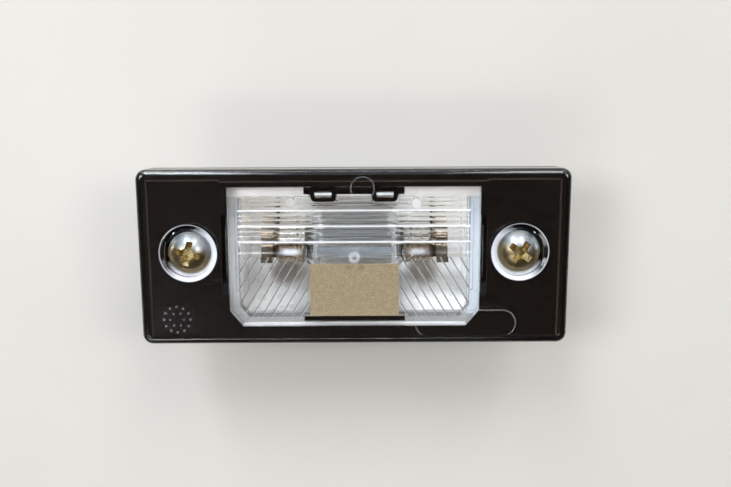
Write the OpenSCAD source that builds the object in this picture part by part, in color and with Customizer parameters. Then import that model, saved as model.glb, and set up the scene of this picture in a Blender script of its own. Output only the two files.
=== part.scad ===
// Number plate lamp: a clear full-face lens over a black housing, with a festoon bulb behind flutes.
// X runs along the lamp, +Y is the top of the photograph, +Z points out of the lens.
// The origin is midway between the screws, on the plane where the rear seal meets the car.

/* [Lamp outline] */
// Length of the lens
lamp_w = 93.8; // [93:0.1:96]
// Height of the lens
lamp_h = 38.6; // [38.4:0.1:40]
// Height of the lens face above the car's surface
face_z = 9; // [8.5:0.1:10]
// Corner radius of the outline
corner_r = 2.2; // [1.8:0.1:3]
// Rounding of the lens's front edge
edge_r = 1.4; // [0.6:0.1:1.6]
// Distance of the outline's centre below the screws
drop = 1.2; // [1:0.1:1.4]

/* [Lens] */
// Thickness of the lens plate
plate_t = 2.6; // [2.2:0.1:3]
// Thickness of the lens skirt
skirt_t = 1; // [0.8:0.1:1.2]
// Radius of the frosted gate mark
gate_r = 1.2; // [0.8:0.1:1.5]
// Radius of the ejector marks
ejector_r = 1.05; // [0.8:0.05:1.3]

/* [Window] */
// Half width of the window, to the outside of the rib
win_x = 27.5; // [27.2:0.1:27.6]
// Half width of the fluted area
clear_x = 25.35; // [24.5:0.05:25.5]
// Pitch of the stepped bands across the upper window
band_pitch = 3.46; // [3.3:0.01:3.5]
// Height of the step at the lower edge of each band
band_step = 0.3; // [0.2:0.05:0.5]
// Pitch of the slanted flutes
slant_pitch = 1.82; // [1.6:0.01:2]
// Angle of the slanted flutes
slant_angle = 58.5; // [50:0.5:65]
// Half width of the beige patch
patch_x = 9.8; // [9:0.1:9.9]

/* [Screws and wells] */
// Distance between the screws
screw_gap = 72; // [71.6:0.1:72.4]
// Radius of the well at the lens face
well_rim_r = 6.3; // [6:0.1:6.35]
// Radius of the well below its sloping lip
well_r = 5.28; // [5:0.02:5.6]
// Depth of the well
well_depth = 2; // [1.6:0.1:2.2]
// Radius of the screw head
head_r = 4.55; // [4.4:0.05:4.8]
// Height of the screw head
head_h = 3.2; // [2.8:0.1:3.6]
// Radius of the plain shank and of the thread's crest
shank_r = 2.4; // [2.3:0.05:2.5]
// Radius of the thread's root
root_r = 1.8; // [1.6:0.05:1.9]
// Pitch of the thread
thread_pitch = 1.6; // [1.4:0.1:1.8]
// Turn of the left screw's cross
cross_left = -13; // [-45:45]
// Turn of the right screw's cross
cross_right = 53; // [0:90]

/* [Housing] */
// Thickness of the rear seal
seal_t = 1.5; // [1.2:0.1:2]
// Thickness of the housing flange
flange_t = 1.7; // [1.5:0.1:2]
// Thickness of the lens seal
lens_seal_t = 0.8; // [0.6:0.1:1]
// Depth of the bulb chamber behind the car's surface
chamber_d = 14; // [13.8:0.1:15]
// Half width of the chamber inside
chamber_x = 27.65; // [27.65:0.01:27.7]
// Wall of the chamber at its ends
end_wall = 2.75; // [2.6:0.05:3]
// Wall of the chamber along its sides
side_wall = 1.2; // [1.1:0.1:1.3]
// Thickness of the chamber's floor
floor_t = 1.5; // [1.2:0.1:1.7]
// Outer length of the connector shroud
shroud_w = 24; // [22:0.5:26]
// Outer width of the connector shroud
shroud_h = 11; // [10:0.5:12]
// Depth of the connector shroud behind the chamber
shroud_d = 8.5; // [7:0.5:10]
// Wall of the connector shroud
shroud_wall = 1.5; // [1.2:0.1:1.6]

/* [Bulb, contacts and reflector] */
// Height of the bulb's axis
bulb_z = -2; // [-2.4:0.1:-1.6]
// Radius of the bulb's glass
glass_r = 5.25; // [4.8:0.05:5.4]
// Half length of the whole bulb
bulb_half = 19.2; // [19:0.1:19.4]
// Radius of the bulb's caps
cap_r = 4.1; // [3.9:0.05:4.2]
// Thickness of the contact strip
strip_t = 0.5; // [0.4:0.05:0.5]
// Distance of each strip's middle line from the lamp's middle
strip_x = 6.85; // [6.6:0.05:7]
// Width of the strip where it hooks over the bridge
strip_w = 3.7; // [3.4:0.1:3.8]
// Width of the connector blades
blade_w = 2.8; // [2.8:0.1:3]
// Inner radius of the reflector trough
trough_r = 13.07; // [12.9:0.01:13.1]
// Wall of the reflector
trough_t = 0.7; // [0.6:0.05:0.8]

/* [Hidden] */
$fn = 64;
e = 0.01;
gap = 0.15;
screw_x = screw_gap / 2;
plate_z = face_z - plate_t;
flange_z = seal_t + flange_t;
skirt_z = flange_z + lens_seal_t;
frame_z = plate_z - 0.05;
seat_z = face_z - well_depth;
hole_r = shank_r + 0.45;
shoulder_r = shank_r + 0.2;

// Well: a broken rim, a sloping lip, a drafted wall and a sloping foot round the seat
rim_cut = 0.15;
lip_r = well_r + 0.1;
lip_depth = 0.5;
foot_r = head_r + 0.1;
foot_rise = 0.48;

// Cross recess of the screws
cross_w = 1.4;
cross_top = 3.1;
cross_mid = 2.72;
cross_foot = 1.2;
cross_rise = 1.1;

// Marks left by the ejector pins on the lens's inner side
ejectors = [[-13.8, 10.75], [13.55, 10.6]];

// Rolls, steps and slanted grooves on the lens's inner side
roll_sag = 0.12;
step_run = 0.35;
wide_sag = 0.5;
slant_step = 0.12;
slant_run = 0.25;
slant_start = [-16.55, -8.15];

// Window and fluted area, as heights above the screws' line
win_top = 14.1;
win_bottom = -16.75;
clear_top = 11.92;
clear_bottom = -14.55;
band_top = 8.85;
flutes_end = -1.22;
patch_top = -2.75;
patch_bottom = -14.45;

// Raised frame of the housing, under the lens plate and close inside its skirt, with a fine groove on top
frame_gap = 0.05;
frame_x = lamp_w / 2 - skirt_t - frame_gap;
frame_top = lamp_h / 2 - drop - skirt_t - frame_gap;
frame_bottom = -lamp_h / 2 - drop + skirt_t + frame_gap;
groove_w = 0.3;
groove_more = 0.04;
groove_run = 0.1;
groove_x = 44.85;
groove_top = 15.76;
groove_mid = 15.43;
groove_low = -19.2;
groove_jog = 29.1;

// Inside of the bulb chamber
chamber_top = 14.35;
chamber_bottom = -16.9;
chamber_out_x = chamber_x + end_wall;
floor_z = -chamber_d + floor_t;
pocket_x = 29.15;
pocket_top = 8.2;
pocket_bottom = -9.95;

// Snap tongues of the lens
tongue_x = 27.8;
tongue_t = 1.2;

// Rib bottom, reflector rim and trough
rib_z = plate_z - 3;
rim_z = rib_z - 0.3;
trough_y = -1.03;
trough_z = 2.5;
trough_x = 24.9;
rim_slot = [11.3, -16.2, -15.1];

// Bridge behind the reflector, with a post under each strip's hook
bridge_x = 10.9;
bridge_y = 12.85;
bridge_z = 2.3;
bridge_low = -4;
post_half = 2.95;
post_low = 10.3;
post_top = 0.7;
saddle_y = 11.8;
notch_y = 12.35;
hook_y = 12.35;
hook_z = 1.5;
hook_r = 1.1;
rail_low = -8.6;
rail_high = -5.8;
clip_x = 18.4;
clip_half = 3.6;
clip_top = 1.2;
strip_floor = floor_z;

// Bulb: glass, cap with its cone, leads and coil
glass_t = 0.5;
glass_half = 11.9;
neck_r = 3.6;
cap_mouth = 11.2;
cap_floor = 13.6;
cone_start = 16.8;
tip_r = 1.3;
lead_r = 0.3;
coil_half = 4.6;
// The cone seats on the edge of the clip's hole
clip_hole_r = tip_r + (bulb_half - clip_x) * (cap_r - tip_r) / (bulb_half - cone_start);

// Flat shapes

module round_rect(w, h, r) {
  square([w - 2 * r, h], center = true);
  square([w, h - 2 * r], center = true);
  for (sx = [-1, 1], sy = [-1, 1])
    translate([sx * (w / 2 - r), sy * (h / 2 - r)])
      circle(r);
}

module round_box(x0, x1, y0, y1, z0, z1, r) {
  translate([(x0 + x1) / 2, (y0 + y1) / 2, z0])
    linear_extrude(z1 - z0)
      round_rect(x1 - x0, y1 - y0, r);
}

module box(x0, x1, y0, y1, z0, z1) {
  translate([x0, y0, z0])
    cube([x1 - x0, y1 - y0, z1 - z0]);
}

module window_shape(grow) {
  x = win_x + grow;
  top = win_top + grow;
  low = win_bottom - grow;
  polygon([[-x, top], [-x, low + 3.5], [-x + 2.9, low], [x - 2.9, low], [x, low + 3.5], [x, top]]);
}

module clear_shape() {
  x = clear_x;
  low = clear_bottom;
  difference() {
    translate([-x, low])
      square([2 * x, clear_top - low]);
    for (s = [-1, 1])
      translate([s * x, low])
        rotate(s * 51)
          square([3.4, 3.2], center = true);
  }
}

// Removes the sharp front edge of a rounded rectangle centred on the origin, whose front is at z = 0
module front_rounding(w, h, corner, r) {
  for (s = [-1, 1]) {
    translate([0, s * (h / 2 - r), -r])
      difference() {
        translate([0, s * r, r])
          cube([w - 2 * corner, 2 * r, 2 * r], center = true);
        rotate([0, 90, 0])
          cylinder(r = r, h = w, center = true);
      }
    translate([s * (w / 2 - r), 0, -r])
      difference() {
        translate([s * r, 0, r])
          cube([2 * r, h - 2 * corner, 2 * r], center = true);
        rotate([90, 0, 0])
          cylinder(r = r, h = h, center = true);
      }
  }
  for (mx = [0, 1], my = [0, 1])
    mirror([mx, 0, 0])
      mirror([0, my, 0])
        translate([w / 2 - corner, h / 2 - corner, -r])
          rotate_extrude(angle = 90)
            difference() {
              translate([corner - r, 0])
                square([2 * r, 2 * r]);
              translate([corner - r, 0])
                circle(r);
            }
}

module at_screws() {
  for (s = [-1, 1])
    translate([s * screw_x, 0, 0])
      children();
}

// Lens

function arc_points(x0, x1, y, sag, n) = [
  for (i = [0:n]) let (t = i / n) [x0 + (x1 - x0) * t, y - 4 * sag * t * (1 - t)]
];

// One stepped band: shallow rolls on a slope that drops towards its lower edge, and a steep return
function band_points(top, low, rolls) = concat(
  [for (k = [0:rolls - 1], i = [0:5]) let (
    t = (k + i / 6) / rolls,
    u = i / 6
  ) [top - (top - low - step_run) * t, -band_step * t - roll_sag * 4 * u * (1 - u)]],
  [[low + step_run, -band_step]]
);

module horizontal_flutes() {
  edges = [for (i = [0:2]) band_top - i * band_pitch];
  points = concat(
    [[clear_top + 0.3, 1], [clear_top + 0.3, 0]],
    band_points(clear_top, edges[0], 3),
    band_points(edges[0], edges[1], 3),
    band_points(edges[1], edges[2], 3),
    arc_points(edges[2], flutes_end, 0, wide_sag, 12),
    [[flutes_end, 1]]
  );
  translate([-clear_x - 0.3, 0, plate_z])
    rotate([90, 0, 90])
      linear_extrude(2 * clear_x + 0.6)
        polygon(points);
}

module slanted_flutes() {
  count = 16;
  points = concat(
    [[-count * slant_pitch, 1]],
    [for (k = [-count:count - 1], c = [[0, 0], [slant_pitch - slant_run, -slant_step]])
      [k * slant_pitch + c[0], c[1]]],
    [[count * slant_pitch, 0], [count * slant_pitch, 1]]
  );
  intersection() {
    translate([slant_start[0], slant_start[1], plate_z])
      rotate([0, 0, slant_angle - 90])
        translate([0, 30, 0])
          rotate([90, 0, 0])
            linear_extrude(60)
              polygon(points);
    box(-clear_x - 0.3, -patch_x - 0.28, clear_bottom - 0.3, flutes_end, plate_z - 1, plate_z + 0.5);
  }
}

module rib() {
  difference() {
    translate([0, 0, rib_z])
      linear_extrude(plate_z - rib_z + e)
        difference() {
          window_shape(0);
          clear_shape();
        }
    for (s = [-1, 1])
      box(s * 25.9 - 0.35, s * 25.9 + 0.35, -9, 10, rib_z - e, rib_z + 1);
  }
}

module snap_tongue() {
  box(tongue_x, tongue_x + tongue_t, pocket_bottom + 0.3, pocket_top - 0.3, -3.6, plate_z + e);
  translate([tongue_x + tongue_t - e, 0, 0])
    rotate([90, 0, 0])
      translate([0, 0, -5])
        linear_extrude(12)
          polygon([[0, -3.6], [0.9, -1.9], [0.9, -1.7], [0, -1.6]]);
}

// The well down to the seat, with the screw's hole
module well_space() {
  rotate_extrude()
    polygon([[0, face_z + 1], [well_rim_r + 1, face_z + 1],
      [well_rim_r - rim_cut, face_z - rim_cut], [lip_r, face_z - lip_depth],
      [well_r, seat_z + foot_rise], [foot_r, seat_z], [0, seat_z]]);
  cylinder(r = hole_r, h = face_z + 1);
}

module moulding_marks() {
  translate([24.4, -15.85, face_z - 0.12])
    linear_extrude(1)
      difference() {
        round_rect(22.3, 6.1, 3.04);
        round_rect(21.8, 5.6, 2.79);
      }
  translate([1.88, 13.95, face_z - 0.1])
    linear_extrude(1)
      difference() {
        circle(2.62);
        circle(2.4);
      }
}

module date_ring() {
  translate([-38.93, -14.7, face_z - e]) {
    for (i = [0:11])
      rotate(i * 30)
        translate([2.9, 0, 0])
          cylinder(r = 0.28, h = 0.15, $fn = 16);
    for (i = [0:5])
      rotate(i * 60)
        translate([1.5, 0, 0])
          cylinder(r = 0.22, h = 0.15, $fn = 16);
  }
}

module lens_cover() {
  color([0.85, 0.88, 0.9, 0.35])
    difference() {
      union() {
        difference() {
          translate([0, -drop, 0])
            difference() {
              translate([0, 0, skirt_z])
                linear_extrude(face_z - skirt_z)
                  round_rect(lamp_w, lamp_h, corner_r);
              translate([0, 0, face_z])
                front_rounding(lamp_w, lamp_h, corner_r, edge_r);
            }
          round_box(-lamp_w / 2 + skirt_t, lamp_w / 2 - skirt_t, -lamp_h / 2 - drop + skirt_t,
            lamp_h / 2 - drop - skirt_t, skirt_z - e, plate_z, corner_r - skirt_t + 0.2);
        }
        at_screws()
          translate([0, 0, flange_z])
            cylinder(r = well_rim_r, h = plate_z - flange_z + e);
        rib();
        for (s = [0, 1])
          mirror([s, 0, 0]) {
            snap_tongue();
            slanted_flutes();
          }
        horizontal_flutes();
        for (p = ejectors)
          translate([p[0], p[1], plate_z - 0.9])
            cylinder(r = ejector_r, h = 1);
        date_ring();
      }
      at_screws()
        well_space();
      for (s = [-1, 1])
        round_box(s * strip_x - post_half, s * strip_x + post_half, post_low, clear_top + 1, plate_z - 2,
          plate_z, 1.1);
      moulding_marks();
      translate([0, -1.2, face_z - 0.15])
        difference() {
          cylinder(r = gate_r, h = 1);
          translate([0, 0, -e])
            cylinder(r = gate_r / 2, h = 0.12);
        }
    }
}

module glare_patch() {
  color([0.65, 0.58, 0.47])
    box(-patch_x, patch_x, patch_bottom, patch_top, plate_z - 0.15, plate_z);
}

// Housing

module end_pockets() {
  for (s = [0, 1])
    mirror([s, 0, 0])
      difference() {
        box(31.8, 43.2, -16.9, 13.9, -e, frame_z - 1.8);
        translate([screw_x, 0, -1])
          cylinder(r = well_rim_r + 1.6, h = 10);
        box(35.3, 36.7, -20, 20, -1, 10);
        for (y = [-9.5, 9.5])
          box(31, 44, y - 0.6, y + 0.6, -1, 10);
      }
}

// A fine V groove along X or Y in the top of the raised frame
module v_groove(x0, x1, y0, y1) {
  along_x = x1 - x0 > y1 - y0;
  w = along_x ? groove_w : groove_w + groove_more;
  translate([(x0 + x1) / 2, (y0 + y1) / 2, frame_z])
    rotate([along_x ? 45 : 0, along_x ? 0 : 45, 0])
      cube([along_x ? x1 - x0 : w, along_x ? w : y1 - y0, w], center = true);
}

module flange() {
  difference() {
    union() {
      translate([0, -drop, seal_t])
        linear_extrude(flange_t)
          round_rect(lamp_w, lamp_h, corner_r);
      round_box(-frame_x, frame_x, frame_bottom, frame_top, flange_z - e, frame_z, corner_r - skirt_t + 0.15);
    }
    end_pockets();
    for (s = [-1, 1]) {
      v_groove(s * groove_x, s * groove_x, groove_low - groove_run, groove_top + groove_run);
      v_groove(s > 0 ? groove_jog : -groove_x, s > 0 ? groove_x : -groove_jog, groove_top, groove_top);
      v_groove(s * groove_jog, s * groove_jog, groove_mid - groove_run, groove_top + groove_run);
    }
    v_groove(-groove_jog, groove_jog, groove_mid, groove_mid);
    v_groove(-groove_x, groove_x, groove_low, groove_low);
  }
}

module chamber_space() {
  box(-chamber_x, chamber_x, chamber_bottom, chamber_top, floor_z, rib_z - 0.3);
  translate([0, 0, rib_z - 0.3 - e])
    linear_extrude(10)
      window_shape(gap);
  box(-pocket_x, pocket_x, pocket_bottom, pocket_top, -4.2, 10);
  box(-chamber_out_x - 1, chamber_out_x + 1, -7.4, 5.4, -4.2, -1.5);
}

module bridge() {
  leg = strip_w / 2 + 0.1;
  leg_y = hook_y + hook_r - strip_t;
  difference() {
    union() {
      box(-bridge_x, bridge_x, bridge_y, chamber_top + e, bridge_low, hook_z);
      for (s = [-1, 1])
        translate([s * strip_x, 0, 0]) {
          round_box(-post_half, post_half, post_low, bridge_y + 2, bridge_low, post_top, 1.1);
          box(-leg, leg, saddle_y, bridge_y + 0.2, post_top - e, hook_z);
        }
    }
    box(-bridge_x - 1, bridge_x + 1, chamber_top + e, 20, bridge_low - 1, 5);
    for (s = [-1, 1])
      translate([s * strip_x, 0, 0]) {
        box(-leg, leg, saddle_y - strip_t - 0.1, saddle_y, bridge_low - 1, 5);
        box(-leg, leg, leg_y, leg_y + strip_t + 0.1, bridge_low - 1, 5);
      }
  }
  for (s = [-1, 1])
    translate([s * strip_x, 0, 0])
      translate([0, hook_y, hook_z])
        rotate([0, 90, 0])
          cylinder(r = hook_r - strip_t - 0.02, h = 2 * leg + 0.2, center = true, $fn = 32);
  for (x = [[-bridge_x, -strip_x - leg], [-strip_x + leg, strip_x - leg], [strip_x + leg, bridge_x]])
    box(x[0], x[1], bridge_y, chamber_top + e, hook_z - e, bridge_z);
}

module shroud() {
  z0 = -chamber_d - shroud_d;
  difference() {
    union() {
      round_box(-shroud_w / 2, shroud_w / 2, -shroud_h / 2, shroud_h / 2, z0, -chamber_d + e, 2);
      translate([0, shroud_h / 2 - e, z0 + 3])
        rotate([90, 0, 90])
          linear_extrude(6, center = true)
            polygon([[0, 0], [1.3, 1.8], [1.3, 2.4], [0, 2.4]]);
      for (s = [-1, 1])
        box(s * 8 - 0.6, s * 8 + 0.6, -shroud_h / 2 - 3, shroud_h / 2 + 3, -chamber_d - 2.5, -chamber_d + e);
    }
    round_box(-shroud_w / 2 + shroud_wall, shroud_w / 2 - shroud_wall, -shroud_h / 2 + shroud_wall,
      shroud_h / 2 - shroud_wall, z0 - 1, -chamber_d, 0.8);
    box(-1, 1, -shroud_h / 2 + shroud_wall - 0.7, 0, z0 - 1, -chamber_d - 1);
  }
}

module housing() {
  color([0.08, 0.07, 0.07])
    difference() {
      union() {
        difference() {
          union() {
            flange();
            round_box(-chamber_out_x, chamber_out_x, chamber_bottom - side_wall, chamber_top + side_wall,
              -chamber_d, seal_t + e, 2.2);
            at_screws()
              cylinder(r = 5, h = seal_t + e);
          }
          chamber_space();
          at_screws()
            translate([0, 0, flange_z])
              cylinder(r = well_rim_r + gap, h = 10);
        }
        bridge();
        shroud();
        for (sx = [-1, 1], y = [chamber_bottom, chamber_top - 4])
          box(sx > 0 ? 25.85 : -chamber_x - e, sx > 0 ? chamber_x + e : -25.85, y - e, y + 4 + e,
            floor_z - e, rim_z - trough_t);
      }
      at_screws()
        translate([0, 0, -1])
          cylinder(r = hole_r, h = 10);
      for (s = [-1, 1])
        box(s * strip_x - blade_w / 2 - 0.05, s * strip_x + blade_w / 2 + 0.05, -strip_t / 2 - 0.05,
          strip_t / 2 + 0.05, -chamber_d - 1, floor_z + 1);
    }
}

// Reflector, contacts and bulb

module reflector() {
  color([0.8, 0.8, 0.82])
    difference() {
      union() {
        translate([0, 0, rim_z - trough_t])
          linear_extrude(trough_t)
            window_shape(0.05);
        intersection() {
          translate([0, trough_y, trough_z])
            rotate([0, 90, 0])
              cylinder(r = trough_r + trough_t, h = 2 * (trough_x + trough_t), center = true, $fn = 96);
          box(-30, 30, -20, 20, -20, rim_z);
        }
      }
      translate([0, trough_y, trough_z])
        rotate([0, 90, 0])
          cylinder(r = trough_r, h = 2 * trough_x, center = true, $fn = 96);
      box(-trough_x, trough_x, trough_y - trough_r, trough_y + trough_r, trough_z, 10);
      box(-bridge_x - 0.2, bridge_x + 0.2, notch_y, 20, -12, 10);
      box(-rim_slot[0], rim_slot[0], rim_slot[1], rim_slot[2], rim_z - 1, rim_z + 1);
      for (s = [-1, 1]) {
        round_box(s * strip_x - post_half - 0.1, s * strip_x + post_half + 0.1, post_low - 0.1, 20, -12, 10, 1.1);
        box(s * (clip_x + strip_t / 2) - 0.65, s * (clip_x + strip_t / 2) + 0.65, -clip_half - 0.3,
          clip_half + 0.3, -20, 0);
      }
    }
}

module strip_hook() {
  translate([strip_x, hook_y, hook_z])
    rotate([0, 90, 0])
      rotate([0, 0, 90])
        translate([0, 0, -strip_w / 2])
          linear_extrude(strip_w)
            difference() {
              circle(hook_r, $fn = 48);
              circle(hook_r - strip_t, $fn = 48);
              translate([-5, -10])
                square([10, 10]);
            }
}

module contact() {
  x0 = strip_x - strip_w / 2;
  x1 = strip_x + strip_w / 2;
  b0 = strip_x - blade_w / 2;
  b1 = strip_x + blade_w / 2;
  y_out = hook_y + hook_r;
  y_in = hook_y - hook_r;
  difference() {
    union() {
      box(b0, b1, -strip_t / 2, strip_t / 2, -chamber_d - shroud_d + 1.5, strip_floor + strip_t);
      box(b0, b1, -strip_t / 2, y_out, strip_floor, strip_floor + strip_t);
      box(x0, x1, y_out - strip_t, y_out, strip_floor, hook_z);
      strip_hook();
      box(x0, x1, y_in, y_in + strip_t, rail_low, hook_z);
      box(x0, clip_x + strip_t, y_in, y_in + strip_t, rail_low, rail_high);
      box(clip_x, clip_x + strip_t, -clip_half, y_in + strip_t, strip_floor, strip_floor + 0.9);
      difference() {
        box(clip_x, clip_x + strip_t, clip_half, y_in + strip_t, strip_floor, rail_high);
        translate([0, trough_y, trough_z])
          rotate([0, 90, 0])
            cylinder(r = trough_r + trough_t + 0.25, h = 60, $fn = 96);
      }
      box(clip_x, clip_x + strip_t, -clip_half, clip_half, strip_floor, clip_top);
      box(clip_x, clip_x + 2.6, -clip_half, clip_half, clip_top - strip_t, clip_top);
      for (y = [-clip_half, clip_half - strip_t])
        box(clip_x, clip_x + 2.6, y, y + strip_t, -6, clip_top);
    }
    translate([clip_x - 1, 0, bulb_z])
      rotate([0, 90, 0])
        cylinder(r = clip_hole_r, h = 3);
    translate([b0 - e, 0, -chamber_d - shroud_d + 1.5])
      rotate([45, 0, 0])
        translate([0, 0.4, -0.9])
          cube([4, 1, 1]);
  }
}

module contact_left() {
  color([0.72, 0.66, 0.52])
    mirror([1, 0, 0])
      contact();
}

module contact_right() {
  color([0.72, 0.66, 0.52])
    contact();
}

// Places children with Z along the lamp, on the bulb's axis
module along_bulb() {
  translate([0, 0, bulb_z])
    rotate([0, 90, 0])
      children();
}

module bulb_glass() {
  color([0.85, 0.9, 0.95, 0.4])
    along_bulb()
      difference() {
        rotate_extrude()
          difference() {
            glass_outline(glass_r, glass_half, neck_r);
            glass_outline(glass_r - glass_t, glass_half - glass_t, neck_r - glass_t);
          }
        cylinder(r = lead_r, h = 3 * glass_half, center = true, $fn = 24);
      }
}

module glass_outline(r, half, neck) {
  shoulder = 2.6;
  square_h = 2 * (half - shoulder - 0.8);
  translate([0, -square_h / 2])
    square([r, square_h]);
  translate([0, -half])
    square([neck, 2 * half]);
  for (s = [-1, 1])
    translate([r - shoulder, s * square_h / 2])
      intersection() {
        circle(shoulder);
        square(2 * shoulder, center = true);
      }
  translate([0, -square_h / 2 - shoulder])
    square([r - shoulder, square_h + 2 * shoulder]);
}

module bulb_cap() {
  along_bulb()
    rotate_extrude()
      polygon([[0, cap_floor], [neck_r, cap_floor], [neck_r, cap_mouth], [cap_r, cap_mouth],
        [cap_r, cap_mouth + 0.7], [cap_r - 0.15, cap_mouth + 1], [cap_r - 0.15, cap_mouth + 1.5],
        [cap_r, cap_mouth + 1.8], [cap_r, cone_start], [tip_r, bulb_half], [0, bulb_half]]);
}

module bulb_cap_right() {
  color([0.8, 0.74, 0.6])
    bulb_cap();
}

module bulb_cap_left() {
  color([0.8, 0.74, 0.6])
    mirror([1, 0, 0])
      bulb_cap();
}

module bulb_lead() {
  along_bulb()
    translate([0, 0, coil_half])
      cylinder(r = lead_r, h = cap_floor - coil_half, $fn = 24);
}

module bulb_lead_right() {
  color([0.6, 0.6, 0.62])
    bulb_lead();
}

module bulb_lead_left() {
  color([0.6, 0.6, 0.62])
    mirror([1, 0, 0])
      bulb_lead();
}

module bulb_filament() {
  color([0.35, 0.35, 0.38])
    along_bulb() {
      cylinder(r = 0.22, h = 2 * coil_half, center = true, $fn = 24);
      for (i = [-9:9])
        translate([0, 0, i * 0.45])
          rotate_extrude($fn = 24)
            translate([0.3, 0])
              circle(0.16, $fn = 16);
    }
}

// Screws

module cross_recess() {
  top = seat_z + head_h + 0.5;
  mid = seat_z + head_h - 0.7;
  foot = seat_z + cross_rise;
  for (a = [0, 90])
    rotate(a)
      rotate([90, 0, 0])
        linear_extrude(cross_w, center = true)
          polygon([[-cross_top, top], [cross_top, top], [cross_mid, mid], [cross_foot, foot],
            [-cross_foot, foot], [-cross_mid, mid]]);
  translate([0, 0, foot])
    cylinder(r1 = 0.8, r2 = 1.6, h = top - foot);
}

module screw() {
  dome_base = 0.8;
  dome_h = head_h - dome_base;
  dome_r = (pow(head_r, 2) + pow(dome_h, 2)) / (2 * dome_h);
  plain_end = -4;
  turns = 7;
  difference() {
    union() {
      translate([0, 0, seat_z])
        cylinder(r = head_r, h = dome_base);
      intersection() {
        translate([0, 0, seat_z + head_h - dome_r])
          sphere(dome_r, $fn = 96);
        translate([0, 0, seat_z + dome_base - e])
          cylinder(r = head_r, h = head_h);
      }
      cylinder(r = shoulder_r, h = seat_z + e);
      translate([0, 0, plain_end])
        cylinder(r = shank_r, h = e - plain_end);
      rotate_extrude()
        polygon(concat(
          [[0, plain_end + e], [root_r, plain_end + e]],
          [for (i = [0:turns - 1], k = [0:2]) [k == 1 ? shank_r : root_r,
            plain_end - thread_pitch * i - [0.2, 0.8, 1.4][k]]],
          [[root_r, plain_end - thread_pitch * turns - 0.4], [0.3, plain_end - thread_pitch * turns - 2.6],
            [0, plain_end - thread_pitch * turns - 2.6]]
        ));
    }
    cross_recess();
  }
}

module screw_left() {
  color([0.78, 0.66, 0.36])
    translate([-screw_x, 0, 0])
      rotate(cross_left)
        screw();
}

module screw_right() {
  color([0.78, 0.66, 0.36])
    translate([screw_x, 0, 0])
      rotate(cross_right)
        screw();
}

// Seals

module lens_seal() {
  color([0.1, 0.1, 0.1])
    difference() {
      round_box(-lamp_w / 2 + 0.3, lamp_w / 2 - 0.3, -lamp_h / 2 - drop + 0.3, lamp_h / 2 - drop - 0.3,
        flange_z, skirt_z, corner_r - 0.3);
      round_box(-frame_x - gap, frame_x + gap, frame_bottom - gap, frame_top + gap, flange_z - 1,
        skirt_z + 1, 1.5);
    }
}

module rear_seal() {
  color([0.14, 0.14, 0.14])
    difference() {
      round_box(-lamp_w / 2 + 0.7, lamp_w / 2 - 0.7, -lamp_h / 2 - drop + 0.7, lamp_h / 2 - drop - 0.7,
        0, seal_t, 1.6);
      round_box(-chamber_out_x - 0.2, chamber_out_x + 0.2, chamber_bottom - side_wall - 0.2,
        chamber_top + side_wall + 0.2, -1, seal_t + 1, 2.3);
      at_screws()
        translate([0, 0, -1])
          cylinder(r = 5.1, h = 5);
    }
}

lens_cover();
glare_patch();
housing();
reflector();
bulb_glass();
bulb_cap_left();
bulb_cap_right();
bulb_lead_left();
bulb_lead_right();
bulb_filament();
contact_left();
contact_right();
screw_left();
screw_right();
lens_seal();
rear_seal();
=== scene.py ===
"""Number plate lamp: materials, floor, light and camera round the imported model."""
import math

import bpy
from mathutils import Matrix, Vector


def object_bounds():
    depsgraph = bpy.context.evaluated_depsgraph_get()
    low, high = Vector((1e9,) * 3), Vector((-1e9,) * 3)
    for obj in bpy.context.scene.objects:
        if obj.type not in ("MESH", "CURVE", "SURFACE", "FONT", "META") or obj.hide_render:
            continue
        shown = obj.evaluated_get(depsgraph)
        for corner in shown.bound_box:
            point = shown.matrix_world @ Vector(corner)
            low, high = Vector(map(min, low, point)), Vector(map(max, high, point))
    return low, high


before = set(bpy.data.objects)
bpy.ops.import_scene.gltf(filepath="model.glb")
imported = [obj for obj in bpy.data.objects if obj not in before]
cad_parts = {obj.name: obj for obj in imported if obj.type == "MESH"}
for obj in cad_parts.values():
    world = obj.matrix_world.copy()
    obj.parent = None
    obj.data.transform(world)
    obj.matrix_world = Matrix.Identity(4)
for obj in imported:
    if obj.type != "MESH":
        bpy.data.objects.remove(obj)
cad_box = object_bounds()

MM = 0.001

# Camera, fitted to the four corners of the lamp in the photograph
IMAGE_W = 731
SENSOR_MM = 36.0
FOCAL_PX = 760.0
CAMERA_MM = (1.957, 28.88, 171.12)
CAMERA_TILT = (9.399, 0.180, 0.261)

# Heights of the lens's face, its plate's back and the housing's frame; all places are millimetres of the model's frame
FACE_Z = 9.0
PLATE_Z = 6.4
ON_PLATE_Z = PLATE_Z + 0.02
FRAME_Z = 6.35

# The window's clear part: its half width and lower edge, and the line that ends the bands and the wide roll
CLEAR_X = 25.35
CLEAR_BOTTOM = -14.55
FLUTES_TOP = -1.3

# Return faces of the bands: Y of each lower edge, and their run
BAND_EDGES = (8.85, 5.39, 1.93)
BAND_RUN = 0.35

# Painted shade: dark lines in the hollows between the bands' rolls: Y, lowest X, highest X, depth
SHADES = ((10.6, -10.0, 12.0, 0.7), (8.25, -8.0, 5.0, 0.7), (7.3, -18.0, 7.0, 0.5), (6.1, -18.0, 17.0, 0.5),
          (4.9, -21.0, 7.0, 0.65), (3.9, -12.0, 6.0, 0.45), (2.7, -21.0, 17.0, 0.6))
SHADE_HALF = 0.13
SHADE_SOFT = 0.12
SHADE_END_SOFT = 2.5

# Slanted flutes: a point that they start from, their lean, their pitch, the run of their return faces, their inner
# end, their depth and the share of the pitch that a crest takes
HATCH_START = (-16.55, -8.15)
HATCH_LEAN = math.radians(58.5)
HATCH_PITCH = 1.82
HATCH_RUN = 0.25
HATCH_INNER_X = 10.08
HATCH_DEPTH = 0.3
CREST_SHARE = 0.07

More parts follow.
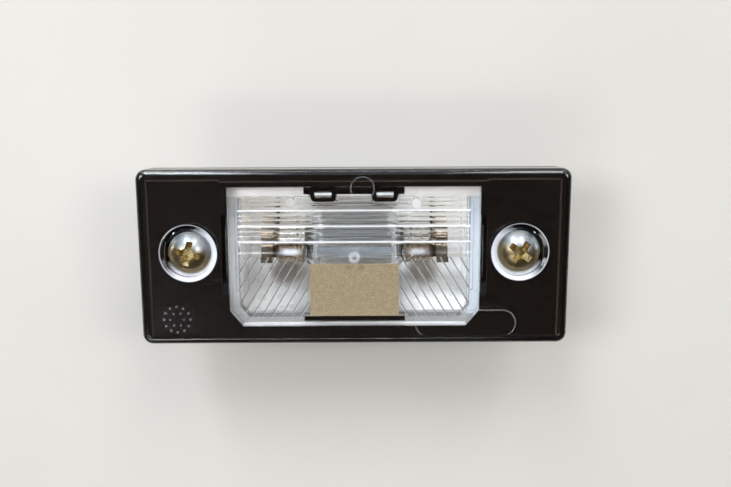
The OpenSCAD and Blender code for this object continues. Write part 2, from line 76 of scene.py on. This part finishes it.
# Moulding marks: X, Y and radius of the gate and the ejectors, and the gate's shadows on the patch with a softness
GATE = (0.0, -1.2, 1.2)
GATE_MIDDLE = (0.0, -1.2, 0.55)
EJECTORS = ((-13.8, 10.75, 1.05), (13.55, 10.6, 1.05))
GATE_SHADOWS = ((-1.2, -3.5, 0.6, 0.4), (1.5, -3.5, 0.6, 0.4))

# Fine outlines sunk in the face: their floors' heights with a softness, and the part of the face that has them
OUTLINE_Z = (8.86, 8.92, 0.005)
MARKED_X = (-43.5, 43.5)
MARKED_Y = (-18.4, 16.7)
MARK_CLEAR_R = 6.6

# Screws and wells: the seat, the dome's centre and radius, the cross, the rings of painted highlight as radii with a
# softness, and the direction of their painted lit side
SCREW_X = 36.0
SEAT_Z = 7.0
DOME_Z = 4.69
DOME_R = 5.51
CROSS_R = 2.9
CROSS_RISE = 0.85
WELL_LIP = (5.37, 6.2, 0.04)
WELL_FOOT = (4.6, 5.32, 0.04)
WELL_RIM = (6.12, 6.33, 0.03)
WELL_LIT_SIDE = (-0.82, -0.57)

# Painted highlight on the wide roll in front of each cap: its reach in X and Y, each with its softness
ROLL_X = (12.1, 15.9, 0.9)
ROLL_Y = (-0.65, 0.55, 0.35)

# The skirt's inner faces and foot
SKIRT_X = 45.7
SKIRT_TOP = 16.9
SKIRT_BOTTOM = -19.3
SKIRT_FOOT = 4.05
SKIRT_JOINT = 0.3

# The rib's joint with the reflector's rim: its heights and half width, and where the notch and slot break it
RIB_FOOT_Z = (3.3, 3.5)
RIB_X = 27.6
RIB_OPEN_X = 11.3
RIB_OPEN_Y = (-14.5, 11.0)

# Housing: the groove near the frame's edge with a painted brown highlight, and the slot under the patch with painted
# light
GROOVE_Z = (FRAME_Z - 0.3, FRAME_Z - 0.015, 0.005)
GROOVE_X = (-45.2, 45.2)
GROOVE_Y = (-19.2, 16.2)
SLOT_X = (-11.5, 11.5)
SLOT_Y = (-17.4, -13.0)
SLOT_Z = 5.0

# Reflector: the caps' painted reflections on its floor and the edges of its rim's zones, whose tones are painted light
IMAGE_X, IMAGE_Y = 15.2, -7.8
IMAGE_HALF_W, IMAGE_HALF_H = 4.2, 3.1
SATIN_FROM, SATIN_TO = 9.5, 15.0
ENDS_X = 9.0
RIM_Z = (2.7, 3.0)
RIM_RIGHT = 25.2
RIM_TOP = 11.9
RIM_BOTTOM = -14.5
RIM_LINE = -16.4

# Contacts: the painted highlight on the rolled hook, from Y to Y with its softness, and the height where it starts
HOOK_HIGHLIGHT = (12.0, 12.65, 0.12)
HOOK_LOW_Z = 1.5

# Scales of the fine noise on metal, for colour, roughness and bumps, and the bumps' height in metres
SPECK = 300.0
SPECK_ROUGH = 750.0
SPECK_BUMP = 1500.0
FINE_BUMP = 0.00002


def srgb(r, g, b):
    """Linear colour of an sRGB colour given as 0 to 255."""
    def linear(v):
        v = v / 255
        return v / 12.92 if v <= 0.04045 else ((v + 0.055) / 1.055) ** 2.4
    return (linear(r), linear(g), linear(b))


# Floor: half its side in metres, its far tone as seen, and the distances in millimetres between which it fades
# to that tone
FLOOR_HALF = 3.0
FLOOR_TONE = (*srgb(214, 213, 209), 1.0)
FADE_FROM, FADE_TO = 200.0, 600.0

# Windows on both sides: name, side, share of the light and colour; and where any pane starts and ends to dim, with
# 0 at its middle and 0.5 at its edge
WINDOW_SIDES = (("left", -1, 1.33, (0.93, 0.98, 1.04)), ("right", 1, 0.75, (1.0, 0.97, 0.93)))
WINDOW_SOFT = (0.2, 0.5)


class Tree:
    """Short helpers for building a node tree."""

    def __init__(self, tree):
        self.tree = tree

    def add(self, kind, **values):
        node = self.tree.nodes.new(kind)
        for key, value in values.items():
            setattr(node, key, value)
        return node

    def link(self, a, b):
        self.tree.links.new(a, b)

    def put(self, value, socket):
        """Gives a socket a number or colour, or links it to another socket."""
        if isinstance(value, (int, float, tuple)):
            socket.default_value = value
        else:
            self.link(value, socket)

    def math(self, op, a, b=None):
        node = self.add("ShaderNodeMath", operation=op)
        self.put(a, node.inputs[0])
        if b is not None:
            self.put(b, node.inputs[1])
        return node.outputs[0]

    def plus(self, a, b):
        return self.math("ADD", a, b)

    def minus(self, a, b):
        return self.math("SUBTRACT", a, b)

    def times(self, a, b):
        return self.math("MULTIPLY", a, b)

    def over(self, a, b):
        return self.math("DIVIDE", a, b)

    def above(self, a, b):
        return self.math("GREATER_THAN", a, b)

    def below(self, a, b):
        return self.math("LESS_THAN", a, b)

    def absolute(self, a):
        return self.math("ABSOLUTE", a)

    def map_range(self, value, low, high, to_low, to_high, curve="LINEAR"):
        node = self.add("ShaderNodeMapRange", interpolation_type=curve)
        for key, number in (("From Min", low), ("From Max", high), ("To Min", to_low), ("To Max", to_high)):
            node.inputs[key].default_value = number
        self.link(value, node.inputs["Value"])
        return node.outputs["Result"]

    def smooth(self, value, low, high, to_low, to_high):
        return self.map_range(value, low, high, to_low, to_high, "SMOOTHSTEP")

    def split(self, vector):
        node = self.add("ShaderNodeSeparateXYZ")
        self.link(vector, node.inputs[0])
        return node.outputs["X"], node.outputs["Y"], node.outputs["Z"]

    def blend(self, fac, first, second):
        node = self.add("ShaderNodeMix", data_type="RGBA")
        self.link(fac, node.inputs[0])
        self.put(first, node.inputs[6])
        self.put(second, node.inputs[7])
        return node.outputs[2]


class Nodes(Tree):
    """A material and the helpers for its nodes; a mask is 1 on what it names and 0 elsewhere."""

    def __init__(self, name):
        self.mat = bpy.data.materials.new(name)
        self.mat.use_nodes = True
        super().__init__(self.mat.node_tree)
        self.tree.nodes.clear()
        self.out = self.add("ShaderNodeOutputMaterial")

    def principled(self, **inputs):
        node = self.add("ShaderNodeBsdfPrincipled")
        for key, value in inputs.items():
            node.inputs[key.replace("_", " ")].default_value = value
        return node

    def matt(self, kind, colour):
        node = self.add("ShaderNodeBsdf" + kind)
        node.inputs["Color"].default_value = (*colour, 1.0)
        return node.outputs[0]

    def mix(self, fac, first, second):
        node = self.add("ShaderNodeMixShader")
        self.put(fac, node.inputs["Fac"])
        self.link(first, node.inputs[1])
        self.link(second, node.inputs[2])
        return node.outputs[0]

    def position(self):
        return self.add("ShaderNodeTexCoord").outputs["Object"]

    def mm(self):
        """The model's X, Y and Z at the shaded point, in millimetres."""
        scale = self.add("ShaderNodeVectorMath", operation="SCALE")
        self.link(self.position(), scale.inputs[0])
        scale.inputs["Scale"].default_value = 1000.0
        return self.split(scale.outputs[0])

    def noise(self, scale, detail=3.0, roughness=0.55):
        node = self.add("ShaderNodeTexNoise")
        node.inputs["Scale"].default_value = scale
        node.inputs["Detail"].default_value = detail
        node.inputs["Roughness"].default_value = roughness
        self.link(self.position(), node.inputs["Vector"])
        return node.outputs["Fac"]

    def ramp(self, fac, *stops):
        """A colour ramp through stops, each a place and a colour."""
        node = self.add("ShaderNodeValToRGB")
        ramp = node.color_ramp
        while len(ramp.elements) < len(stops):
            ramp.elements.new(0.5)
        for element, (place, colour) in zip(ramp.elements, stops):
            element.position = place
            element.color = (*colour, 1.0)
        self.link(fac, node.inputs["Fac"])
        return node.outputs["Color"]

    def mottle(self, fac, low, high):
        """Colour that wanders between two tones with the noise."""
        return self.ramp(fac, (0.3, low), (0.7, high))

    def rough(self, p, fac, low, high, extra=None, ends=(0.35, 0.7)):
        """Roughness that wanders with the noise, with more where extra says."""
        value = self.map_range(fac, *ends, low, high)
        self.link(value if extra is None else self.plus(value, extra), p.inputs["Roughness"])

    def bump(self, p, height, strength, distance=FINE_BUMP):
        node = self.add("ShaderNodeBump")
        node.inputs["Distance"].default_value = distance
        node.inputs["Strength"].default_value = strength
        self.link(height, node.inputs["Height"])
        self.link(node.outputs["Normal"], p.inputs["Normal"])

    def length(self, a, b, c=None):
        total = self.plus(self.times(a, a), self.times(b, b))
        if c is not None:
            total = self.plus(total, self.times(c, c))
        return self.math("SQRT", total)

    def between(self, value, low, high, soft=0.02):
        """1 where the value lies between low and high, with soft ends."""
        middle = self.absolute(self.minus(value, (low + high) / 2))
        half = (high - low) / 2
        return self.map_range(middle, half - soft, half + soft, 1.0, 0.0)

    def both(self, first, *masks):
        for mask in masks:
            first = self.times(first, mask)
        return first

    def either(self, first, *masks):
        for mask in masks:
            first = self.math("MAXIMUM", first, mask)
        return first

    def disc(self, x_mm, y_mm, r_mm, soft_mm=0.15):
        """A round spot, seen along the model's Z."""
        x, y, _ = self.mm()
        far = self.length(self.minus(x, x_mm), self.minus(y, y_mm))
        return self.map_range(far, r_mm - soft_mm, r_mm + soft_mm, 1.0, 0.0)

    def finish(self, shader):
        self.link(shader, self.out.inputs["Surface"])
        return self.mat

    def finish_clear(self, shader):
        """Lets lamp light through a clear piece, so what is behind it is lit."""
        path = self.add("ShaderNodeLightPath")
        clear = self.matt("Transparent", (0.97, 0.98, 0.99))
        return self.finish(self.mix(path.outputs["Is Shadow Ray"], shader, clear))


def band_mask(n):
    """The frosted return faces between the lens's stepped bands."""
    x, y, z = n.mm()
    lines = n.either(*[n.between(y, edge, edge + BAND_RUN, 0.03) for edge in BAND_EDGES])
    return n.both(lines, n.between(x, -CLEAR_X, CLEAR_X), n.below(z, ON_PLATE_Z))


def shade_mask(n):
    """Painted shade: fine dark lines in the hollows between the bands' rolls, broken here and there."""
    x, y, z = n.mm()
    lines = []
    for middle, low, high, depth in SHADES:
        across = n.between(y, middle - SHADE_HALF, middle + SHADE_HALF, SHADE_SOFT)
        lines.append(n.times(n.both(across, n.between(x, low, high, SHADE_END_SOFT)), depth))
    return n.both(n.either(*lines), n.below(z, ON_PLATE_Z), n.map_range(n.noise(160.0), 0.3, 0.6, 0.5, 1.0))


def hatch_masks(n):
    """The return faces of the slanted flutes, which the lens paints with shade, and the narrow crest beside each."""
    x, y, z = n.mm()
    side = n.times(n.absolute(x), -1.0)
    along = n.times(n.minus(side, HATCH_START[0]), math.sin(HATCH_LEAN))
    across = n.times(n.minus(y, HATCH_START[1]), -math.cos(HATCH_LEAN))
    place = n.math("FRACT", n.over(n.plus(along, across), HATCH_PITCH))
    zone = n.both(n.between(side, -CLEAR_X, -HATCH_INNER_X), n.between(y, CLEAR_BOTTOM, FLUTES_TOP),
                  n.below(z, ON_PLATE_Z), n.above(z, PLATE_Z - HATCH_DEPTH))
    faces = n.between(place, 1 - HATCH_RUN / HATCH_PITCH, 1.02, 0.01)
    return n.both(faces, zone), n.both(n.between(place, -0.02, CREST_SHARE, 0.02), zone)


def well_masks(n):
    """Painted highlights in each well: the lip and the foot on the side towards the lamp's middle, and the rim."""
    x, y, z = n.mm()
    out = n.minus(n.absolute(x), SCREW_X)
    far = n.length(out, y)
    lean = n.plus(n.times(out, WELL_LIT_SIDE[0]), n.times(y, WELL_LIT_SIDE[1]))
    turn = n.over(lean, far)
    inside = n.above(z, SEAT_Z - 0.02)
    lip = n.both(n.between(far, *WELL_LIP), n.map_range(turn, -0.35, 0.25, 0.0, 1.0), inside)
    foot = n.both(n.between(far, *WELL_FOOT), n.map_range(turn, -0.55, 0.1, 0.0, 1.0), inside)
    rim = n.both(n.between(far, *WELL_RIM), inside)
    streak = n.map_range(n.math("SINE", n.times(far, 24.0)), -1.0, 1.0, 0.8, 1.0)
    return n.both(n.either(lip, foot), streak), rim


def roll_highlight_mask(n):
    """Painted highlight on the wide roll in front of each bulb cap, weaker on the right."""
    x, y, z = n.mm()
    across = n.between(n.absolute(x), *ROLL_X)
    share = n.map_range(x, -1.0, 1.0, 1.0, 0.6)
    return n.both(across, n.between(y, *ROLL_Y), n.below(z, ON_PLATE_Z), share)


def joint_mask(n):
    """The skirt's inner face and foot, pressed against the black frame and the seal."""
    x, y, z = n.mm()

    def past(more):
        return n.either(n.above(n.absolute(x), SKIRT_X + more), n.above(y, SKIRT_TOP + more),
                        n.below(y, SKIRT_BOTTOM - more))

    sides, outside = past(0.0), past(SKIRT_JOINT)
    foot = n.below(z, SKIRT_FOOT)
    wall = n.both(n.minus(1.0, outside), n.below(z, PLATE_Z))
    return n.both(sides, n.either(foot, wall))


def rib_foot_mask(n):
    """The rib's foot, where it sits on the reflector's rim."""
    x, y, z = n.mm()
    return n.both(n.between(z, *RIB_FOOT_Z), n.between(x, -RIB_X, RIB_X),
                  n.either(n.above(n.absolute(x), RIB_OPEN_X), n.between(y, *RIB_OPEN_Y)))


def mark_mask(n):
    """The floors of the fine moulded outlines on the lens's face, and the tops of its raised dots."""
    x, y, z = n.mm()
    sunk = n.between(z, *OUTLINE_Z)
    raised = n.above(z, FACE_Z + 0.05)
    flat = n.both(n.between(x, *MARKED_X), n.between(y, *MARKED_Y))
    far = n.length(n.minus(n.absolute(x), SCREW_X), y)
    return n.both(n.either(sunk, raised), flat, n.above(far, MARK_CLEAR_R))


def lens_material():
    """Clear plastic with frosted, shaded and lit faces where the photograph shows them."""
    n = Nodes("lens")
    x, _, _ = n.mm()
    gate = n.minus(n.disc(*GATE), n.disc(*GATE_MIDDLE))
    pads = n.either(*[n.disc(*spot) for spot in EJECTORS])
    pads = n.both(pads, n.map_range(x, -1.0, 1.0, 0.4, 1.0))
    shaded_flute_faces, crests = hatch_masks(n)
    caught, rim = well_masks(n)
    p = n.principled(Base_Color=(0.985, 0.993, 0.995, 1.0), IOR=1.585, Transmission_Weight=1.0)
    n.link(n.times(n.either(n.times(gate, 0.6), pads), 0.42), p.inputs["Roughness"])
    n.bump(p, n.noise(90.0, 2.0), 0.15)

    white = (0.95, 0.95, 0.96)
    frost = n.mix(0.5, n.matt("Diffuse", white), n.matt("Translucent", white))
    hazy = n.either(n.times(band_mask(n), 0.85), n.times(rib_foot_mask(n), 0.1), n.times(crests, 0.35),
                    n.times(mark_mask(n), 0.18), n.times(gate, 0.24), n.times(pads, 0.3))
    # Painted highlights: pale diffuse where the wells, their rims and the wide roll catch light
    lit = n.either(n.times(caught, 0.92), n.times(rim, 0.5), n.times(roll_highlight_mask(n), 0.56))
    look = n.mix(hazy, p.outputs[0], frost)
    # Painted shade in the bands' hollows and on the slanted flutes' return faces, then the skirt's black joint and the
    # painted highlights
    for mask, tone in ((shade_mask(n), (0.07, 0.065, 0.065)), (n.times(shaded_flute_faces, 0.82), (0.10, 0.09, 0.085)),
                       (joint_mask(n), (0.006, 0.005, 0.004)), (lit, (0.90, 0.92, 0.97))):
        look = n.mix(mask, look, n.matt("Diffuse", tone))
    return n.finish_clear(look)


def bulb_glass_material():
    n = Nodes("bulb_glass")
    p = n.principled(Base_Color=(0.96, 0.98, 1.0, 1.0), IOR=1.5, Transmission_Weight=1.0)
    n.rough(p, n.noise(400.0), 0.0, 0.02, ends=(0.4, 0.7))
    return n.finish_clear(p.outputs[0])


def housing_material():
    """Black plastic, with a painted brown highlight in the groove near its edge and painted light in the slot under
    the patch.
    """
    n = Nodes("housing")
    p = n.principled(IOR=1.5, Specular_IOR_Level=0.35)
    x, y, z = n.mm()
    groove = n.both(n.between(z, *GROOVE_Z), n.between(x, *GROOVE_X), n.between(y, *GROOVE_Y))
    slot = n.both(n.between(x, *SLOT_X), n.between(y, *SLOT_Y), n.below(z, SLOT_Z))
    cloud = n.noise(60.0)
    black = n.mottle(cloud, (0.0021, 0.0013, 0.0010), (0.0033, 0.0022, 0.0017))
    # Painted highlight: brown in the groove; painted light: the lighter tone in the slot
    brown = n.mottle(cloud, (0.026, 0.018, 0.013), (0.032, 0.023, 0.016))
    lighter = n.mottle(cloud, (0.13, 0.10, 0.085), (0.17, 0.13, 0.11))
    n.link(n.blend(slot, n.blend(groove, black, brown), lighter), p.inputs["Base Color"])
    n.rough(p, n.noise(900.0), 0.16, 0.24)
    n.bump(p, n.noise(2600.0, 2.0), 0.1)
    return n.finish(p.outputs[0])


def reflector_material():
    """Silvery coating: bright behind the bulb, satin towards the ends, with the caps' dark reflections painted on its
    floor and painted shade and light in its trough and rim.
    """
    n = Nodes("reflector")
    p = n.principled(IOR=1.5)
    x, y, z = n.mm()
    side = n.absolute(x)
    satin = n.map_range(side, SATIN_FROM, SATIN_TO, 0.0, 1.0)
    fine = n.noise(120.0)

    def flat(*tone):
        return n.mottle(fine, [v * 0.95 for v in tone], [v * 1.05 for v in tone])

    # The trough: warm above, neutral below, painted shade in its lower ends, the caps' dark painted reflections, and
    # painted shade below the bulb
    cap_reflection = n.length(n.over(n.minus(side, IMAGE_X), IMAGE_HALF_W), n.over(n.plus(y, -IMAGE_Y), IMAGE_HALF_H))
    cap_reflection = n.map_range(cap_reflection, 0.55, 1.1, 0.8, 0.0)
    low = n.both(n.map_range(side, 9.0, 11.0, 1.0, 0.0), n.map_range(y, -5.2, -4.2, 1.0, 0.0))
    left = n.both(n.below(x, -ENDS_X), n.map_range(y, -7.0, -4.5, 0.75, 0.0))
    right = n.both(n.above(x, ENDS_X), n.between(y, -12.5, -8.0, 1.0))
    tone = n.blend(n.map_range(y, -1.0, 1.5, 0.0, 1.0), flat(0.95, 0.95, 0.95), flat(0.95, 0.92, 0.875))
    tone = n.blend(n.either(left, n.times(right, 0.85)), tone, flat(0.50, 0.50, 0.49))
    tone = n.blend(cap_reflection, tone, n.mottle(fine, (0.17, 0.135, 0.10), (0.21, 0.17, 0.13)))
    tone = n.blend(low, tone, flat(0.35, 0.30, 0.24))

    # The rim round it, seen through the rib, toned zone by zone as painted light: lighter and bluer at the right,
    # darker along the bottom, lighter at the top and below its line
    rim = n.map_range(z, *RIM_Z, 0.0, 1.0)
    edge = n.blend(n.above(x, RIM_RIGHT), flat(0.285, 0.28, 0.275), flat(0.39, 0.415, 0.44))
    edge = n.blend(n.below(y, RIM_BOTTOM), edge, flat(0.225, 0.215, 0.205))
    edge = n.blend(n.above(y, RIM_TOP), edge, flat(0.59, 0.555, 0.52))
    edge = n.blend(n.below(y, RIM_LINE), edge, flat(0.57, 0.555, 0.54))
    n.link(n.blend(rim, tone, edge), p.inputs["Base Color"])

    ends = n.map_range(x, -1.0, 1.0, 0.15, 0.1)
    metal = n.plus(n.times(n.minus(1.0, satin), 0.8), n.times(satin, ends))
    n.link(n.times(metal, n.map_range(rim, 0.0, 1.0, 1.0, 0.2)), p.inputs["Metallic"])
    n.rough(p, n.noise(300.0), 0.16, 0.22, n.times(satin, 0.1), ends=(0.3, 0.7))
    n.bump(p, n.noise(500.0), 0.02)
    return n.finish(p.outputs[0])


def metal_material(name, low, high, smoothest, roughest):
    n = Nodes(name)
    p = n.principled(Metallic=1.0)
    n.link(n.mottle(n.noise(SPECK), low, high), p.inputs["Base Color"])
    n.rough(p, n.noise(SPECK_ROUGH), smoothest, roughest)
    n.bump(p, n.noise(SPECK_BUMP), 0.2)
    return n.finish(p.outputs[0])


def cap_material():
    """Nickel with painted shade: paler on the left cap than the right, brown and duller on the front of both."""
    n = Nodes("bulb_cap")
    p = n.principled(Metallic=1.0)
    x, y, _ = n.mm()
    speck = n.noise(SPECK)
    # Painted shade: the right cap darker than the left, and the front of both brown
    left = n.mottle(speck, (0.62, 0.59, 0.53), (0.76, 0.74, 0.69))
    right = n.mottle(speck, (0.42, 0.40, 0.36), (0.54, 0.52, 0.47))
    brown = n.mottle(speck, (0.22, 0.17, 0.12), (0.34, 0.27, 0.19))
    front = n.map_range(y, 0.5, 1.2, 1.0, 0.0)
    n.link(n.blend(front, n.blend(n.above(x, 0.0), left, right), brown), p.inputs["Base Color"])
    n.rough(p, n.noise(SPECK_ROUGH), 0.22, 0.32)
    n.bump(p, n.noise(SPECK_BUMP), 0.05)
    return n.finish(p.outputs[0])


def contact_material():
    """Tinned strip, with a painted highlight along its rolled hook under the window's top edge."""
    n = Nodes("contact")
    p = n.principled()
    _, y, z = n.mm()
    speck = n.noise(SPECK)
    dull = n.mottle(speck, (0.47, 0.38, 0.29), (0.57, 0.48, 0.38))
    white = n.mottle(speck, (0.86, 0.88, 0.90), (0.94, 0.95, 0.97))
    # Painted highlight along the rolled hook
    line = n.both(n.between(y, *HOOK_HIGHLIGHT), n.above(z, HOOK_LOW_Z))
    n.link(n.blend(line, dull, white), p.inputs["Base Color"])
    n.link(n.map_range(line, 0.0, 1.0, 1.0, 0.2), p.inputs["Metallic"])
    n.rough(p, n.noise(SPECK_ROUGH), 0.14, 0.22)
    n.bump(p, n.noise(SPECK_BUMP), 0.05)
    return n.finish(p.outputs[0])


def screw_material():
    """Yellow zinc: a painted reflection makes the dome's upper part silvery and painted shade makes it dark gold
    below; full gold and duller inside the cross.
    """
    n = Nodes("screw")
    p = n.principled(Metallic=1.0)
    x, y, z = n.mm()
    toward = n.minus(SCREW_X, n.absolute(x))
    under_dome = n.minus(DOME_R, n.length(toward, y, n.minus(z, DOME_Z)))
    cross = n.both(n.map_range(under_dome, 0.04, 0.16, 0.0, 1.0), n.below(n.length(toward, y), CROSS_R),
                   n.above(z, SEAT_Z + CROSS_RISE))
    # Painted reflection: silvery on the dome's upper part, leaning a little to one side; painted shade: darker gold
    # below
    to_right = n.times(toward, n.times(n.math("SIGN", x), -0.25))
    upper = n.both(n.map_range(n.plus(y, to_right), 0.2, 2.2, 0.0, 1.0), n.above(z, SEAT_Z))
    speck = n.noise(SPECK)
    gold = n.mottle(speck, (0.23, 0.18, 0.10), (0.33, 0.26, 0.15))
    painted_sheen = n.mottle(speck, (0.33, 0.35, 0.36), (0.44, 0.46, 0.47))
    deep = n.ramp(n.noise(900.0), (0.38, (0.24, 0.16, 0.05)), (0.62, (0.80, 0.66, 0.34)))
    n.link(n.blend(cross, n.blend(upper, gold, painted_sheen), deep), p.inputs["Base Color"])
    n.rough(p, n.noise(SPECK_ROUGH), 0.3, 0.4, n.times(cross, 0.04))
    n.bump(p, n.noise(SPECK_BUMP), 0.08)
    return n.finish(p.outputs[0])


def patch_material():
    """Beige foil with a fine grain, and the gate's two soft shadows on its top edge."""
    n = Nodes("patch")
    p = n.principled(Roughness=0.85)
    grain = n.noise(3800.0, 3.0, 0.75)
    beige = n.ramp(grain, (0.36, srgb(154, 136, 107)), (0.5, srgb(174, 157, 126)), (0.64, srgb(194, 178, 148)))
    shaded = n.ramp(grain, (0.36, srgb(128, 116, 94)), (0.64, srgb(146, 134, 112)))
    shadows = n.either(*[n.disc(*spot) for spot in GATE_SHADOWS])
    n.link(n.blend(n.times(shadows, 0.7), beige, shaded), p.inputs["Base Color"])
    n.bump(p, grain, 0.2, 0.00001)
    return n.finish(p.outputs[0])


def rubber_material():
    n = Nodes("seal")
    p = n.principled(IOR=1.5)
    n.link(n.mottle(n.noise(200.0), (0.014, 0.014, 0.014), (0.024, 0.023, 0.022)), p.inputs["Base Color"])
    n.rough(p, n.noise(800.0), 0.55, 0.75, ends=(0.3, 0.7))
    n.bump(p, n.noise(1500.0), 0.4, 0.00004)
    return n.finish(p.outputs[0])


def floor_material():
    """Pale floor that fades into one tone far from the lamp, also as metal and glass show it."""
    n = Nodes("floor")
    p = n.principled(Roughness=0.9)
    n.link(n.mottle(n.noise(9.0), srgb(211, 206, 198), srgb(217, 212, 204)), p.inputs["Base Color"])
    x, y, _ = n.mm()
    pale = n.add("ShaderNodeEmission")
    pale.inputs["Color"].default_value = FLOOR_TONE
    path = n.add("ShaderNodeLightPath")
    seen = n.either(*[path.outputs["Is %s Ray" % kind] for kind in ("Camera", "Glossy", "Transmission")])
    fade = n.both(n.map_range(n.length(x, y), FADE_FROM, FADE_TO, 0.0, 1.0), seen)
    return n.finish(n.mix(fade, p.outputs[0], pale.outputs[0]))


def dress(material, *nodes):
    """Gives CAD nodes their material; their meshes and places stay as they are."""
    for node in nodes:
        obj = bpy.data.objects[node]
        obj.data.materials.clear()
        obj.data.materials.append(material)


dress(lens_material(), "lens_cover")
dress(cap_material(), "bulb_cap_left", "bulb_cap_right")
dress(metal_material("bulb_wire", (0.5, 0.49, 0.47), (0.6, 0.59, 0.57), 0.3, 0.4), "bulb_lead_left", "bulb_lead_right")
dress(metal_material("filament", (0.5, 0.5, 0.52), (0.6, 0.6, 0.62), 0.4, 0.5), "bulb_filament")
dress(contact_material(), "contact_left", "contact_right")
dress(screw_material(), "screw_left", "screw_right")
dress(rubber_material(), "lens_seal", "rear_seal")
dress(patch_material(), "glare_patch")
dress(housing_material(), "housing")
dress(reflector_material(), "reflector")
dress(bulb_glass_material(), "bulb_glass")


def place_in_scene(name, data):
    obj = bpy.data.objects.new(name, data)
    bpy.context.collection.objects.link(obj)
    return obj


def add_floor():
    """A square under the lamp's lowest point."""
    mesh = bpy.data.meshes.new("floor")
    half = FLOOR_HALF
    low = cad_box[0].z
    mesh.from_pydata([(-half, -half, low), (half, -half, low), (half, half, low), (-half, half, low)], [],
                     [(0, 1, 2, 3)])
    mesh.materials.append(floor_material())
    floor = place_in_scene("floor", mesh)


def add_window(name, azimuth, elevation, width, height, radiance, colour=(1.0, 1.0, 1.0)):
    """A bright pane a metre away, seen at an azimuth right of +Y and an elevation in degrees, dimmed to its edges."""
    data = bpy.data.lights.new("window_" + name, "AREA")
    data.shape = "RECTANGLE"
    data.size = width
    data.size_y = height
    data.energy = radiance * math.pi * width * height
    data.color = colour
    data.use_nodes = True
    n = Tree(data.node_tree)
    across, up, _ = n.split(n.add("ShaderNodeNewGeometry").outputs["Parametric"])
    edges = [n.smooth(n.absolute(n.minus(place, 0.5)), *WINDOW_SOFT, 1.0, 0.0) for place in (across, up)]
    n.link(n.times(*edges), data.node_tree.nodes["Emission"].inputs["Strength"])
    obj = place_in_scene(data.name, data)
    turn, rise = math.radians(azimuth), math.radians(elevation)
    place = Vector((math.sin(turn) * math.cos(rise), math.cos(turn) * math.cos(rise), math.sin(rise)))
    obj.location = place
    obj.rotation_euler = (-place).to_track_quat("-Z", "Y").to_euler()


def add_world():
    """A room with a pale wall behind the lamp, a dark ceiling and front; the camera sees only the floor's far tone."""
    world = bpy.data.worlds.new("studio")
    bpy.context.scene.world = world
    world.use_nodes = True
    n = Tree(world.node_tree)
    _, y, z = n.split(n.add("ShaderNodeTexCoord").outputs["Generated"])
    front = n.blend(n.smooth(z, 0.25, 0.75, 1.0, 0.0), (0.028, 0.020, 0.015, 1.0), (0.11, 0.093, 0.075, 1.0))
    room = n.blend(n.smooth(y, 0.12, 0.34, 0.0, 1.0), front, (0.58, 0.66, 0.76, 1.0))
    seen = n.add("ShaderNodeLightPath").outputs["Is Camera Ray"]
    n.link(n.blend(seen, room, FLOOR_TONE), world.node_tree.nodes["Background"].inputs["Color"])


def add_camera():
    """The photograph's view."""
    data = bpy.data.cameras.new("camera")
    data.sensor_width = SENSOR_MM
    data.lens = FOCAL_PX / IMAGE_W * data.sensor_width
    data.clip_start = 0.01
    obj = place_in_scene("camera", data)
    rx, ry, rz = (math.radians(a) for a in CAMERA_TILT)
    turn = Matrix.Rotation(rz, 3, "Z") @ Matrix.Rotation(ry, 3, "Y") @ Matrix.Rotation(rx, 3, "X")
    obj.matrix_world = Matrix.Translation([v * MM for v in CAMERA_MM]) @ turn.transposed().to_4x4()
    bpy.context.scene.camera = obj


add_floor()
for name, sign, share, colour in WINDOW_SIDES:
    add_window("back_" + name, sign * 20, 39, 0.25, 0.74, 11.4 * share, colour)
    add_window("side_" + name, sign * 72, 52, 0.38, 0.38, 12.5 * share, colour)
add_window("front", 180, 60, 0.56, 0.08, 6.0)
add_window("front_left", 218, 52, 0.5, 0.5, 4.5, (0.98, 0.99, 1.0))
add_world()
add_camera()
bpy.context.scene.view_settings.view_transform = "Standard"
